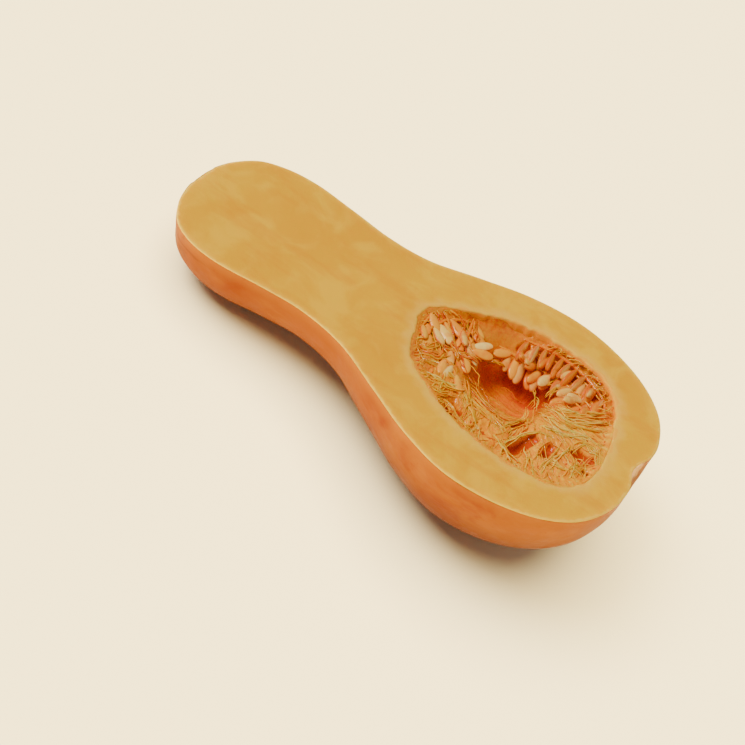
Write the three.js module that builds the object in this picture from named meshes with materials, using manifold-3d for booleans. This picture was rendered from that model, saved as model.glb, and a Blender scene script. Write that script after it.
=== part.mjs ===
// Half of a butternut squash, cut lengthwise and laid on its back with the cut face up.
// Units are millimetres, +Z is up and the origin is on the resting surface, under the middle of the half.
// Fruit frame: x from the stem end to the blossom end, y across the cut, z out of the cut face.
import * as THREE from "three";
import { mergeVertices } from "three/addons/utils/BufferGeometryUtils.js";
import Module from "manifold-3d";

const wasm = await Module();
wasm.setup();

// Driving dimensions of the fruit.
const PROFILE = [
  // [distance from the stem end, radius]
  [0.6, 9], [4.6, 22], [13, 34], [26, 40.4], [42, 42.4], [64, 40.2], [88, 38.3], [111, 41.2],
  [136, 51.8], [162, 62.6], [188, 67.7], [213, 64.6], [234, 55.6], [248, 43], [255.4, 27.5], [257.6, 12],
];
const STEM_X = 0;
const BLOSSOM_X = 258;
const DEPTH_RATIO = 1.03; // depth below the cut over the half width at the cut
const NECK_SWAY = 4.6; // the neck leans to -y by this much at its end
const SWAY_X = 88; // the neck starts to lean here
const BELLY_SWAY = 1; // the belly lies to -y by this much

// Relief of the skin.
const RIBS = 10;
const RIB_HEIGHT = 0.7;
const RIB_REACH = 26; // the ribs fade out over this length from each end
const DIMPLE = { y: 3.4, z: -1.5, radius: 9.5, depth: 5 }; // the blossom's scar
const SCAR = { y: -4.5, z: 0, radius: 8.5, depth: 1.6, points: 5, star: 0.22 }; // the stem's scar

// How the half rests.
const REST_TILT = THREE.MathUtils.degToRad(9.95); // belly and neck touch the surface together
const FLAT_DEPTH = 0.7; // the two small resting flats are this deep
const STEM_HEIGHT = 36.8; // the stem end of the cut above the lowest point of the round back

// The seed hollow.
const HOLLOW_RIM = [
  [127.5, 7], [130.5, 16], [138, 23], [151, 32], [162, 39], [180, 44.2], [198, 45.5], [214, 43],
  [226, 34.5], [233.5, 20], [239, 0], [240, -18], [233, -32.5], [217, -39.2], [196, -40.8], [174, -38.2],
  [154, -29.5], [138, -19.5], [131.5, -4],
];
const HOLLOW_MIDDLE = [184, 2];
const HOLLOW_DEPTH = 43;
const HOLLOW_POWER = 2.4; // above 2 the wall is steeper than an ellipsoid's
const GAP = 0.42; // between the flesh, the pulp and the seeds

// The pulp's upper surface: a level just under the cut, with pits sunk into it.
const PULP_LEVEL = 1.6;
const PULP_TOP = 0.3; // nothing in the hollow stands nearer to the cut than this
const PITS = [
  { x: 182, y: 13, rx: 20, ry: 20, depth: 23, px: 4, py: 2.2 }, // the open middle
  { x: 158, y: 24, rx: 13, ry: 9, depth: 6, px: 2, py: 2.5 }, // along the wall beside the neck
  { x: 203, y: 31, rx: 29, ry: 14, depth: 8, px: 3, py: 3 }, // the shelf of the seed rows
  { x: 145, y: 8, rx: 14, ry: 14, depth: 4.5, px: 2, py: 2 }, // under the seeds beside the neck
  { x: 205, y: -25, rx: 4.5, ry: 8, depth: 7, px: 2, py: 2 }, // openings between the strands
  { x: 231, y: -9, rx: 6, ry: 4.5, depth: 7, px: 2, py: 2 },
  { x: 170, y: -30, rx: 6, ry: 7, depth: 6, px: 2, py: 2 },
  { x: 217, y: -17, rx: 3.5, ry: 6, depth: 5, px: 2, py: 2 },
];
const PULP_SKIN = 1.6; // the thinnest pulp over the flesh

// Fans of strands over the pulp: each runs from a point between a and b to a point between c and d.
const STRANDS = [
  { a: [164, -14], b: [196, -17], c: [176, -39], d: [208, -40], count: 8, radius: 1.1 },
  { a: [199, -2], b: [203, -14], c: [238, -1], d: [234, -27], count: 8, radius: 1.1 },
  { a: [203, -12], b: [214, -9], c: [203, -39], d: [233, -31], count: 6, radius: 1 },
  { a: [134, -6], b: [150, -4], c: [150, -26], d: [166, -14], count: 4, radius: 1 },
  { a: [133, 17], b: [130, 4], c: [160, 4], d: [150, -6], count: 3, radius: 1 },
  { a: [205, 12], b: [224, 14], c: [204, 3], d: [236, 2], count: 4, radius: 1 },
];

// Seeds, in clusters of rows. The seeds of a row hang from a cord that runs between two points and bows sideways.
// They point along out, turned by up to fan towards the row's ends, and their flat sides face along face.
const SEED = { length: 12.5, width: 6, thickness: 3 };
const EDGEWISE = [1, 0.25, 0.45];
const LEANING = [0.8, 0.3, 0.8];
const FLATWISE = [0.2, 0, 1];
const SEED_CLUSTERS = {
  seeds_wall: [
    {
      from: [173, 38, -4.6], to: [223, 34, -4.4], bow: 6,
      count: 11, out: [0.03, -0.92, -0.2], fan: -0.12, face: EDGEWISE,
    },
    {
      from: [189, 37, -11], to: [229, 25.5, -7], bow: 3,
      count: 9, out: [-0.15, -0.88, -0.06], fan: -0.15, face: EDGEWISE,
    },
    {
      from: [201, 28, -11], to: [229, 17, -6.5], bow: 2,
      count: 6, out: [-0.25, -0.86, 0.04], fan: -0.15, face: LEANING,
    },
    {
      from: [165, 28, -8.5], to: [190, 31, -12], bow: 0.5,
      count: 6, out: [0.25, -0.8, -0.3], fan: 0.1, face: FLATWISE,
    },
  ],
  seeds_neck: [
    {
      from: [139.5, 19.5, -3.2], to: [134.5, -4, -3.2], bow: 0.5,
      count: 6, out: [0.75, -0.6, -0.08], fan: -0.3, face: FLATWISE,
    },
    {
      from: [147.5, 29, -4.2], to: [158, -8, -5], bow: 0.5,
      count: 7, out: [0.75, -0.6, -0.12], fan: -0.4, face: FLATWISE,
    },
  ],
};
// Cords that join the rows of a cluster, from end to end.
const LINKS = {
  seeds_wall: [
    [[176, 40.2, -4.6], [181, 35, -8], [188, 31, -11.8]],
    [[221, 35.6, -4.4], [225, 31, -6.5], [227, 26.8, -7.4]],
    [[204, 36, -10.6], [203, 31, -11.2], [202, 27.6, -11]],
    [[190, 37, -11], [189.5, 34, -11.6], [188, 30.8, -11.8]],
  ],
  seeds_neck: [[[139, 17.5, -3.2], [144, 22, -3.6], [148.5, 26, -4.2]]],
};
const CORD_RADIUS = 1.2;
const RANDOM_SEED = 20;

// Mesh steps.
const ALONG = 46;
const AROUND = 26;
const HOLLOW_AROUND = 52;
const SCAR_STEPS = [6.4, 8.4, 10.4]; // extra stations over the edge of the stem's scar

const material = (color, roughness) => new THREE.MeshStandardMaterial({ color, roughness, metalness: 0 });
const smoothstep = THREE.MathUtils.smoothstep;

// Repeatable random numbers in 0 to 1.
function randomSource(seed) {
  let state = seed >>> 0;
  return () => {
    state = (Math.imul(state, 1664525) + 1013904223) >>> 0;
    return state / 4294967296;
  };
}

// Solids from closed geometries, and back.
function solid(geometry) {
  const bare = new THREE.BufferGeometry();
  bare.setAttribute("position", geometry.getAttribute("position").clone());
  if (geometry.index) bare.setIndex(geometry.index.clone());
  const merged = mergeVertices(bare, 1e-4);
  return new wasm.Manifold(
    new wasm.Mesh({
      numProp: 3,
      vertProperties: new Float32Array(merged.attributes.position.array),
      triVerts: new Uint32Array(merged.index.array),
    }),
  );
}

function geometryOf(shape) {
  const mesh = shape.getMesh();
  const geometry = new THREE.BufferGeometry();
  geometry.setAttribute("position", new THREE.BufferAttribute(new Float32Array(mesh.vertProperties), 3));
  geometry.setIndex(new THREE.BufferAttribute(new Uint32Array(mesh.triVerts), 1));
  return outerShell(mergeVertices(geometry, 1e-4));
}

// The shell with the most triangles, without the pockets and crumbs that crossing strands shut in.
function outerShell(geometry) {
  const index = geometry.index.array;
  const parent = Array.from({ length: geometry.attributes.position.count }, (_, i) => i);
  const root = (i) => {
    while (parent[i] !== i) i = parent[i] = parent[parent[i]];
    return i;
  };
  for (let t = 0; t < index.length; t += 3) {
    parent[root(index[t + 1])] = root(index[t]);
    parent[root(index[t + 2])] = root(index[t]);
  }
  const sizes = new Map();
  for (let t = 0; t < index.length; t += 3) sizes.set(root(index[t]), (sizes.get(root(index[t])) ?? 0) + 1);
  const largest = [...sizes].reduce((a, b) => (b[1] > a[1] ? b : a))[0];
  const kept = [];
  for (let t = 0; t < index.length; t += 3) {
    if (root(index[t]) === largest) kept.push(index[t], index[t + 1], index[t + 2]);
  }
  geometry.setIndex(kept);
  geometry.computeVertexNormals();
  return geometry;
}

// A closed geometry from rows of points, each row closed round, with a fan of triangles at each end.
function closedRows(rows, first, last) {
  const count = rows[0].length;
  const points = [first, ...rows.flat(), last];
  const index = [];
  const at = (i, j) => 1 + i * count + (j % count);
  for (let j = 0; j < count; j++) {
    index.push(0, at(0, j), at(0, j + 1));
    index.push(points.length - 1, at(rows.length - 1, j + 1), at(rows.length - 1, j));
    for (let i = 0; i + 1 < rows.length; i++) {
      index.push(at(i, j), at(i + 1, j), at(i, j + 1));
      index.push(at(i + 1, j), at(i + 1, j + 1), at(i, j + 1));
    }
  }
  const geometry = new THREE.BufferGeometry().setFromPoints(points);
  geometry.setIndex(index);
  return geometry;
}

// The fruit's outline from pole to pole, mirrored so that it is round at both poles.
const upper = [[STEM_X, 0], ...PROFILE, [BLOSSOM_X, 0]];
const lower = PROFILE.map(([x, r]) => [x, -r]).reverse();
const outline = new THREE.CatmullRomCurve3(
  [...upper, ...lower].map(([x, r]) => new THREE.Vector3(x, r, 0)),
  true,
  "centripetal",
);
outline.arcLengthDivisions = 2000;

function sway(x) {
  const neck = NECK_SWAY * (1 - smoothstep(x, STEM_X, SWAY_X));
  const belly = BELLY_SWAY * smoothstep(x, 140, 190);
  return -neck - belly;
}

// The skin at share t from stem to blossom and angle phi round the fruit, 0 at the +y edge of the cut.
function skinPoint(t, phi) {
  const { x, y: radius } = outline.getPointAt(t / 2);
  const ends = Math.exp(-x / RIB_REACH) + Math.exp((x - BLOSSOM_X) / RIB_REACH);
  const r = radius + RIB_HEIGHT * ends * Math.cos(RIBS * phi) * Math.min(1, radius / 20);
  const y = sway(x) + r * Math.cos(phi);
  const z = -DEPTH_RATIO * r * Math.sin(phi);
  return new THREE.Vector3(x + endRelief(x, y, z), y, z);
}

// The dimple of the blossom's scar and the star of the stem's scar, as a move along x.
function endRelief(x, y, z) {
  if (x > BLOSSOM_X / 2) {
    const away = Math.hypot(y - DIMPLE.y, z - DIMPLE.z) / DIMPLE.radius;
    return -DIMPLE.depth * Math.exp(-away * away);
  }
  const angle = Math.atan2(z - SCAR.z, y - SCAR.y);
  const edge = SCAR.radius * (1 + SCAR.star * Math.cos(SCAR.points * angle));
  return SCAR.depth * (1 - smoothstep(Math.hypot(y - SCAR.y, z - SCAR.z), edge - 1.5, edge + 1.5));
}

function halfFruit() {
  // Stations crowd together near the two poles, where the scars are.
  const halfLength = outline.getLength() / 2;
  const stations = SCAR_STEPS.map((distance) => distance / halfLength);
  for (let i = 2; i < ALONG; i++) stations.push(0.5 - 0.5 * Math.cos((Math.PI * i) / ALONG));
  stations.sort((a, b) => a - b);
  const rows = [];
  for (const t of stations) {
    const row = [];
    for (let j = 0; j <= AROUND; j++) row.push(skinPoint(t, (Math.PI * j) / AROUND));
    row[0].z = 0;
    row[AROUND].z = 0;
    rows.push(row);
  }
  const first = skinPoint(0, 0);
  const last = skinPoint(1, 0);
  first.y = rows[0][0].y / 2 + rows[0][AROUND].y / 2;
  last.y = rows.at(-1)[0].y / 2 + rows.at(-1)[AROUND].y / 2;
  return solid(closedRows(rows, first, last));
}

// The hollow's rim as a closed curve on the cut.
const rim = new THREE.CatmullRomCurve3(
  HOLLOW_RIM.map(([x, y]) => new THREE.Vector3(x, y, 0)),
  true,
  "centripetal",
);
const rimPoints = rim.getSpacedPoints(HOLLOW_AROUND).slice(0, HOLLOW_AROUND);

// The hollow's depth at a share w of the way from its middle to its rim.
function bowlDepth(w) {
  return HOLLOW_DEPTH * (1 - Math.min(1, w) ** HOLLOW_POWER) ** (1 / HOLLOW_POWER);
}

// A ring of the hollow at share w, drawn in by inset.
function ring(w, z, inset = 0) {
  const [mx, my] = HOLLOW_MIDDLE;
  return rimPoints.map((p) => {
    const reach = Math.hypot(p.x - mx, p.y - my);
    const share = (w * (reach - inset)) / reach;
    const x = mx + (p.x - mx) * share;
    const y = my + (p.y - my) * share;
    return new THREE.Vector3(x, y, typeof z === "function" ? z(x, y) : z);
  });
}

const WALL_SHARES = [0.25, 0.5, 0.7, 0.83, 0.91, 0.96, 0.985, 0.996, 1];

// The hollow as a solid up to a height, drawn in by inset.
function hollowSolid(top, inset) {
  const rows = WALL_SHARES.map((w) => ring(w, inset - bowlDepth(w), inset));
  rows.push(ring(1, top, inset));
  const [mx, my] = HOLLOW_MIDDLE;
  const bottom = new THREE.Vector3(mx, my, inset - HOLLOW_DEPTH);
  return solid(closedRows(rows, bottom, new THREE.Vector3(mx, my, top)));
}

// The height of the pulp's upper surface, without its strands.
function pulpHeight(x, y) {
  let z = -PULP_LEVEL;
  for (const pit of PITS) {
    const away = Math.abs((x - pit.x) / pit.rx) ** pit.px + Math.abs((y - pit.y) / pit.ry) ** pit.py;
    z -= pit.depth * Math.exp(-away);
  }
  return z;
}

const TOP_SHARES = [0.12, 0.24, 0.36, 0.48, 0.6, 0.71, 0.81, 0.89, 0.95];

function pulpMass() {
  const inset = GAP + 0.2;
  const [mx, my] = HOLLOW_MIDDLE;
  const floor = (w) => -bowlDepth(w) + GAP + 0.3;
  const under = WALL_SHARES.slice(0, -2).map((w) => ring(w, floor(w), inset));
  const edge = ring(1, -1.2, inset);
  const level = (w) => (x, y) => Math.max(pulpHeight(x, y), floor(w) + PULP_SKIN);
  const top = TOP_SHARES.map((w) => ring(w, level(w), inset));
  const rows = [...under, edge, ...top.reverse()];
  const bottom = new THREE.Vector3(mx, my, floor(0));
  return solid(closedRows(rows, bottom, new THREE.Vector3(mx, my, pulpHeight(mx, my))));
}

// A thin tube along a curve, closed and tapered at both ends.
function tube(points, radius, sides, steps) {
  const curve = new THREE.CatmullRomCurve3(points);
  const frames = curve.computeFrenetFrames(steps, false);
  const rows = [];
  for (let i = 1; i < steps; i++) {
    const centre = curve.getPointAt(i / steps);
    const r = radius * Math.min(1, 0.45 + 3 * Math.min(i, steps - i) / steps);
    const row = [];
    for (let j = 0; j < sides; j++) {
      const a = (-2 * Math.PI * j) / sides;
      row.push(
        centre
          .clone()
          .addScaledVector(frames.normals[i], r * Math.cos(a))
          .addScaledVector(frames.binormals[i], r * Math.sin(a)),
      );
    }
    rows.push(row);
  }
  return solid(closedRows(rows, curve.getPoint(0), curve.getPoint(1)));
}

const mix = (a, b, s) => a + (b - a) * s;

// Strands of one fan, lying half sunk in the pulp.
function strandFan(fan, random) {
  const strands = [];
  for (let i = 0; i < fan.count; i++) {
    const s = (i + 0.5 + 0.5 * (random() - 0.5)) / fan.count;
    const e = (i + 0.5 + 0.9 * (random() - 0.5)) / fan.count;
    const start = [mix(fan.a[0], fan.b[0], s), mix(fan.a[1], fan.b[1], s)];
    const end = [mix(fan.c[0], fan.d[0], e), mix(fan.c[1], fan.d[1], e)];
    const bow = 5 * (random() - 0.5);
    const points = [];
    for (let k = 0; k <= 4; k++) {
      const u = k / 4;
      const x = mix(start[0], end[0], u) - (bow * Math.sin(Math.PI * u) * (end[1] - start[1])) / 25;
      const y = mix(start[1], end[1], u) + (bow * Math.sin(Math.PI * u) * (end[0] - start[0])) / 25;
      const sink = k === 0 || k === 4 ? 1.5 : 0;
      points.push(new THREE.Vector3(x, y, Math.min(pulpHeight(x, y) + 0.4 * fan.radius - sink, -fan.radius - 0.1)));
    }
    strands.push(tube(points, fan.radius * mix(0.75, 1.2, random()), 4, 5));
  }
  return strands;
}

// One seed: a flattened drop whose point is at base and whose long axis runs along out.
function seedSolid(base, out, face, size, grow) {
  const geometry = new THREE.SphereGeometry(1, 7, 5);
  const place = geometry.getAttribute("position");
  const along = out.clone().normalize();
  const across = new THREE.Vector3().crossVectors(face, along).normalize();
  const normal = new THREE.Vector3().crossVectors(across, along);
  const half = (SEED.length / 2) * size + grow;
  const p = new THREE.Vector3();
  for (let i = 0; i < place.count; i++) {
    p.fromBufferAttribute(place, i);
    const taper = mix(0.66, 1, smoothstep(p.y, -1, 0.6));
    const u = (SEED.length / 2) * size + p.y * half;
    const v = p.x * ((SEED.width / 2) * size + grow) * taper;
    const w = p.z * ((SEED.thickness / 2) * size + grow) * taper;
    p.copy(base).addScaledVector(along, u).addScaledVector(across, v).addScaledVector(normal, w);
    place.setXYZ(i, p.x, p.y, p.z);
  }
  return solid(geometry);
}

// One row of seeds on its cord, at true size and grown by the gap that the pulp leaves round it.
function seedRow(row, random) {
  const from = new THREE.Vector3(...row.from);
  const to = new THREE.Vector3(...row.to);
  const cord = [0, 0.33, 0.67, 1].map((s) => {
    const side = new THREE.Vector3(0, row.bow, 0.6).multiplyScalar(Math.sin(Math.PI * s));
    return from.clone().lerp(to, s).add(side);
  });
  const curve = new THREE.CatmullRomCurve3(cord);
  const parts = [cordPair(cord)];
  for (let i = 0; i < row.count; i++) {
    const s = (i + 0.5) / row.count;
    const base = curve.getPoint(s);
    const yaw = row.fan * (s - 0.5) * 2 + 0.35 * (random() - 0.5);
    const out = new THREE.Vector3(...row.out).applyAxisAngle(new THREE.Vector3(0, 0, 1), yaw);
    out.z += 0.2 * (random() - 0.5);
    const face = new THREE.Vector3(...row.face);
    face.x += 0.9 * (random() - 0.5);
    face.y += 0.6 * (random() - 0.5);
    const size = mix(0.84, 1.08, random());
    parts.push([0, 1.8 * GAP].map((grow) => seedSolid(base, out, face, size, grow)));
  }
  return parts;
}

// A cord and the longer, wider one that makes room for it.
function cordPair(points) {
  const curve = new THREE.CatmullRomCurve3(points);
  const longer = curve.getPoints(6);
  longer.push(curve.getPoint(1).addScaledVector(curve.getTangent(1), 5 * GAP));
  longer.unshift(curve.getPoint(0).addScaledVector(curve.getTangent(0), -5 * GAP));
  return [tube(points, CORD_RADIUS, 5, 5), tube(longer, 1.25 * CORD_RADIUS + 1.6 * GAP, 5, 6)];
}

// A cluster of rows and links as one solid, and the room for it.
function seedCluster(name, random) {
  const parts = SEED_CLUSTERS[name].flatMap((row) => seedRow(row, random));
  for (const link of LINKS[name]) parts.push(cordPair(link.map((p) => new THREE.Vector3(...p))));
  return [0, 1].map((k) => parts.map((pair) => pair[k]).reduce((a, b) => a.add(b)));
}

const random = randomSource(RANDOM_SEED);
const clusters = Object.keys(SEED_CLUSTERS).map((name) => ({ name, parts: seedCluster(name, random) }));
const strands = STRANDS.flatMap((fan) => strandFan(fan, random));

let body = halfFruit().subtract(hollowSolid(5, 0));
// The resting surface shaves a small flat off the belly and off the neck.
const shave = new THREE.BoxGeometry(400, 300, 100);
shave.translate(0, 0, -50 - STEM_HEIGHT + FLAT_DEPTH);
shave.rotateY(REST_TILT);
body = body.subtract(solid(shave));

let pulp = strands.reduce((a, b) => a.add(b), pulpMass()).intersect(hollowSolid(-PULP_TOP, GAP + 0.1));
for (const cluster of clusters) pulp = pulp.subtract(cluster.parts[1]);

// The fruit's frame, tilted so that the half lies on its belly and its neck.
const fruit = new THREE.Group();
fruit.rotation.y = -REST_TILT;
fruit.position.z = STEM_HEIGHT - FLAT_DEPTH;

function place(name, shape, look) {
  const mesh = new THREE.Mesh(geometryOf(shape), look);
  mesh.name = name;
  fruit.add(mesh);
  return mesh;
}

const squash = place("squash_half", body, material(0xf0b43c, 0.55));
place("pulp", pulp, material(0xe8871e, 0.4));
const seedLook = material(0xf3d9a0, 0.35);
for (const cluster of clusters) place(cluster.name, cluster.parts[0], seedLook);

// The origin is under the middle of the half.
fruit.updateMatrixWorld(true);
const middle = new THREE.Box3().setFromObject(squash, true).getCenter(new THREE.Vector3());
fruit.position.x -= middle.x;
fruit.position.y -= middle.y;

const half = new THREE.Group();
half.add(fruit);
export default half;
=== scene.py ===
# Half of a butternut squash, cut lengthwise, on a pale floor.
# Lengths in the making of a mesh are millimetres in the fruit's frame: x from the stem end to the blossom end,
# y across the cut, z out of the cut face. put() turns them into metres in the model's frame.
import math

import bpy
import numpy as np
from mathutils import Matrix, Vector


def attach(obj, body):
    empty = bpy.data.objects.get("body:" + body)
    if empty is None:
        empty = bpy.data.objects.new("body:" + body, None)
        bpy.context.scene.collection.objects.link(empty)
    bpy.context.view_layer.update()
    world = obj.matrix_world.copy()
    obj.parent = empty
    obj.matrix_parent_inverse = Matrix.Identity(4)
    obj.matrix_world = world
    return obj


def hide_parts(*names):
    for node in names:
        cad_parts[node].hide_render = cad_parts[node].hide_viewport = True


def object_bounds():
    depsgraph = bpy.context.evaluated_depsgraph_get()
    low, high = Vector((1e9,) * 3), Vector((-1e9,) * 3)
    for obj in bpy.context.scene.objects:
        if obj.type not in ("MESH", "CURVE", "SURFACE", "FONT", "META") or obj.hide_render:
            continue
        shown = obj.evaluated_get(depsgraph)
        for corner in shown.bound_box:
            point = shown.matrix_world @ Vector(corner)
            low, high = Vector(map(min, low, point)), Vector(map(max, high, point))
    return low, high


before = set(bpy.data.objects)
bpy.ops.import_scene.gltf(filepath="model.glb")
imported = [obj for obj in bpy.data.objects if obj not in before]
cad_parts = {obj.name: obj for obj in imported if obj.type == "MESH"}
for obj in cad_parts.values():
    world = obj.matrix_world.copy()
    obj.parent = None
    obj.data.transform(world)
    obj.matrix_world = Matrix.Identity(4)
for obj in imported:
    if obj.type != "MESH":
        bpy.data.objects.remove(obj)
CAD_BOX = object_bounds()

# The fruit's frame in the model's frame.
REST_TILT = math.radians(9.95)
FRUIT_ORIGIN = (-128.556239, 0.999954, 36.1)
TURN = np.array(Matrix.Rotation(-REST_TILT, 3, "Y"))

# The photograph's camera in the fruit's frame.
EYE = (273.66, -568.88, 545.68)
CAMERA_RIGHT = (0.79922, 0.52333, 0.29559)
CAMERA_DOWN = (0.57226, -0.51219, -0.64046)
CAMERA_FORWARD = (-0.18377, 0.68102, -0.70883)
FIELD_OF_VIEW = math.radians(25)

# Driving dimensions, as in the solids.
PROFILE = [
    (0.6, 9), (4.6, 22), (13, 34), (26, 40.4), (42, 42.4), (64, 40.2), (88, 38.3), (111, 41.2),
    (136, 51.8), (162, 62.6), (188, 67.7), (213, 64.6), (234, 55.6), (248, 43), (255.4, 27.5), (257.6, 12),
]
BLOSSOM_X = 258
DEPTH_RATIO = 1.03
NECK_SWAY = 4.6
BELLY_SWAY = 1
RIBS = 10
RIB_HEIGHT = 0.7
RIB_REACH = 26
DIMPLE = {"y": 3.4, "z": -1.5, "radius": 9.5, "depth": 5}
SCAR = {"y": -4.5, "z": 0, "radius": 8.5, "depth": 1.6, "points": 5, "star": 0.22}
HOLLOW_RIM = [
    (127.5, 7), (130.5, 16), (138, 23), (151, 32), (162, 39), (180, 44.2), (198, 45.5), (214, 43),
    (226, 34.5), (233.5, 20), (239, 0), (240, -18), (233, -32.5), (217, -39.2), (196, -40.8), (174, -38.2),
    (154, -29.5), (138, -19.5), (131.5, -4),
]
HOLLOW_MIDDLE = np.array((184.0, 2.0))
HOLLOW_DEPTH = 43
HOLLOW_POWER = 2.4
GAP = 0.42
PULP_LEVEL = 1.6
PITS = [
    # x, y, reach along x, reach along y, depth, power along x, power along y
    (182, 13, 20, 20, 23, 4, 2.2),
    (158, 24, 13, 9, 6, 2, 2.5),
    (203, 31, 29, 14, 8, 3, 3),
    (145, 8, 14, 14, 4.5, 2, 2),
    (205, -25, 4.5, 8, 7, 2, 2),
    (231, -9, 6, 4.5, 7, 2, 2),
    (170, -30, 6, 7, 6, 2, 2),
    (217, -17, 3.5, 6, 5, 2, 2),
]
SEED = {"length": 12.5, "width": 6, "thickness": 3}
EDGEWISE = (1, 0.25, 0.45)
LEANING = (0.8, 0.3, 0.8)
FLATWISE = (0.2, 0, 1)
SEED_CLUSTERS = {
    # from, to, bow, count, out, fan, face
    "seeds_wall": [
        ((173, 38, -4.6), (223, 34, -4.4), 6, 11, (0.03, -0.92, -0.2), -0.12, EDGEWISE),
        ((189, 37, -11), (229, 25.5, -7), 3, 9, (-0.15, -0.88, -0.06), -0.15, EDGEWISE),
        ((201, 28, -11), (229, 17, -6.5), 2, 6, (-0.25, -0.86, 0.04), -0.15, LEANING),
        ((165, 28, -8.5), (190, 31, -12), 0.5, 6, (0.25, -0.8, -0.3), 0.1, FLATWISE),
    ],
    "seeds_neck": [
        ((139.5, 19.5, -3.2), (134.5, -4, -3.2), 0.5, 6, (0.75, -0.6, -0.08), -0.3, FLATWISE),
        ((147.5, 29, -4.2), (158, -8, -5), 0.5, 7, (0.75, -0.6, -0.12), -0.4, FLATWISE),
    ],
}
# Smaller seeds that fill the gaps between the rows.
FILLING = {
    "seeds_wall": [
        ((179, 37, -7.5), (224, 33, -6), 5, 7, (-0.1, -0.85, 0.0), -0.15, LEANING),
        ((186, 32, -10), (229, 21, -5), 4, 7, (-0.25, -0.8, 0.15), -0.2, LEANING),
        ((171, 29, -9), (187, 33, -11), 0.5, 4, (-0.2, -0.5, 0.35), 0.2, FLATWISE),
        ((205, 23, -5.5), (230, 14, -3.2), 1, 6, (-0.5, -0.7, 0.1), -0.2, LEANING),
    ],
    "seeds_neck": [
        ((131, 17, -2.4), (132.5, 0, -2.4), 0.5, 4, (0.5, -0.6, 0.1), -0.3, FLATWISE),
        ((146, 25, -4.6), (152, -3, -4.2), 1, 5, (0.5, -0.85, 0.0), -0.2, FLATWISE),
        ((151, -7, -2.2), (163, -14, -2.4), 0.5, 3, (0.3, -0.9, 0.05), 0.3, FLATWISE),
        ((156.5, 5, -5), (157.5, 15, -6), 0.5, 3, (0.9, 0.2, -0.15), 0.4, FLATWISE),
    ],
}
LINKS = {
    "seeds_wall": [
        [(176, 40.2, -4.6), (181, 35, -8), (188, 31, -11.8)],
        [(221, 35.6, -4.4), (225, 31, -6.5), (227, 26.8, -7.4)],
        [(204, 36, -10.6), (203, 31, -11.2), (202, 27.6, -11)],
        [(190, 37, -11), (189.5, 34, -11.6), (188, 30.8, -11.8)],
    ],
    "seeds_neck": [[(139, 17.5, -3.2), (144, 22, -3.6), (148.5, 26, -4.2)]],
}
RANDOM_SEED = 20
FILLING_RANDOM_SEED = 8
FIBRES_RANDOM_SEED = 11
GRAIN_RANDOM_SEED = 5

# Mesh steps.
SKIN_ALONG = 300
SKIN_AROUND = 150
PULP_AROUND = 460
PULP_RINGS = 150
SEED_STEPS = 22
SEED_SIDES = 24

# The cut face's rings: distance from the skin's edge or from the hollow's rim, and height.
CUT_FROM_SKIN = [(0.12, -0.32), (0.4, -0.1), (0.9, 0), (1.6, 0), (2.6, 0)]
CUT_FROM_RIM = [(2.6, 0), (1.5, -0.03), (0.8, -0.1), (0.35, -0.22), (0.0, -0.6)]
CUT_MIDDLE_RINGS = 32
CUT_EDGE_DROP = 0.6
# Shares of the hollow's reach where its wall and the pulp's underside have a ring.
WALL_SHARES = (0.996, 0.985, 0.96, 0.92, 0.86, 0.78, 0.68, 0.55, 0.4, 0.22)
UNDER_SHARES = (0.985, 0.96, 0.9, 0.8, 0.65, 0.45, 0.2)
# Values of the attributes edge_mm and rim_mm, and of scar and dimple, where there is no such thing nearby.
NOWHERE_NEAR = 99.0
OFF_THE_ENDS = 9.0

PULP_PAST_RIM = 0.9
RIM_FIBRES = 170
CORD_RADIUS = {"row": 1.0, "filling": 0.6, "link": 0.9}
SEED_SIZE = (0.84, 1.08)
SMALL_SEED = 0.9


def directions(path):
    ahead = np.gradient(path, axis=0)
    return ahead / (np.linalg.norm(ahead, axis=1)[:, None] + 1e-9)


def tube_faces(first, steps, sides):
    """The faces of a closed tube of rings whose points start at this index."""
    index = first + np.arange(steps * sides).reshape(steps, sides)
    nxt = np.roll(index, -1, axis=1)
    quads = np.stack([index[:-1], index[1:], nxt[1:], nxt[:-1]], axis=-1).reshape(-1, 4)
    return [*quads.tolist(), index[0].tolist(), index[-1, ::-1].tolist()]


def smoothstep(x, a, b):
    t = np.clip((np.asarray(x, float) - a) / (b - a), 0, 1)
    return t * t * (3 - 2 * t)


def catmull(points, closed, steps):
    """A centripetal Catmull-Rom curve through the points, with this many steps between two of them."""
    p = np.asarray(points, float)
    n = len(p)
    if closed:
        around = [p[-1], *p, p[0], p[1]]
        spans = n
    else:
        around = [2 * p[0] - p[1], *p, 2 * p[-1] - p[-2]]
        spans = n - 1
    t = np.linspace(0, 1, steps, endpoint=False)[:, None]
    out = []
    for i in range(spans):
        a, b, c, d = around[i:i + 4]
        ab, bc, cd = (max(np.sqrt(np.linalg.norm(q - r)), 1e-6) for q, r in ((b, a), (c, b), (d, c)))
        m1 = ((b - a) / ab - (c - a) / (ab + bc) + (c - b) / bc) * bc
        m2 = ((c - b) / bc - (d - b) / (bc + cd) + (d - c) / cd) * bc
        out.append(b + m1 * t + (3 * (c - b) - 2 * m1 - m2) * t**2 + (2 * (b - c) + m1 + m2) * t**3)
    curve = np.concatenate(out)
    return curve if closed else np.vstack([curve, p[-1:]])


def spaced(curve, shares):
    """Points at shares of the curve's length."""
    length = np.concatenate([[0], np.cumsum(np.linalg.norm(np.diff(curve, axis=0), axis=1))])
    at = np.asarray(shares) * length[-1]
    return np.stack([np.interp(at, length, curve[:, k]) for k in range(curve.shape[1])], axis=-1)


TABLE = np.random.RandomState(GRAIN_RANDOM_SEED).rand(8192)


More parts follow.
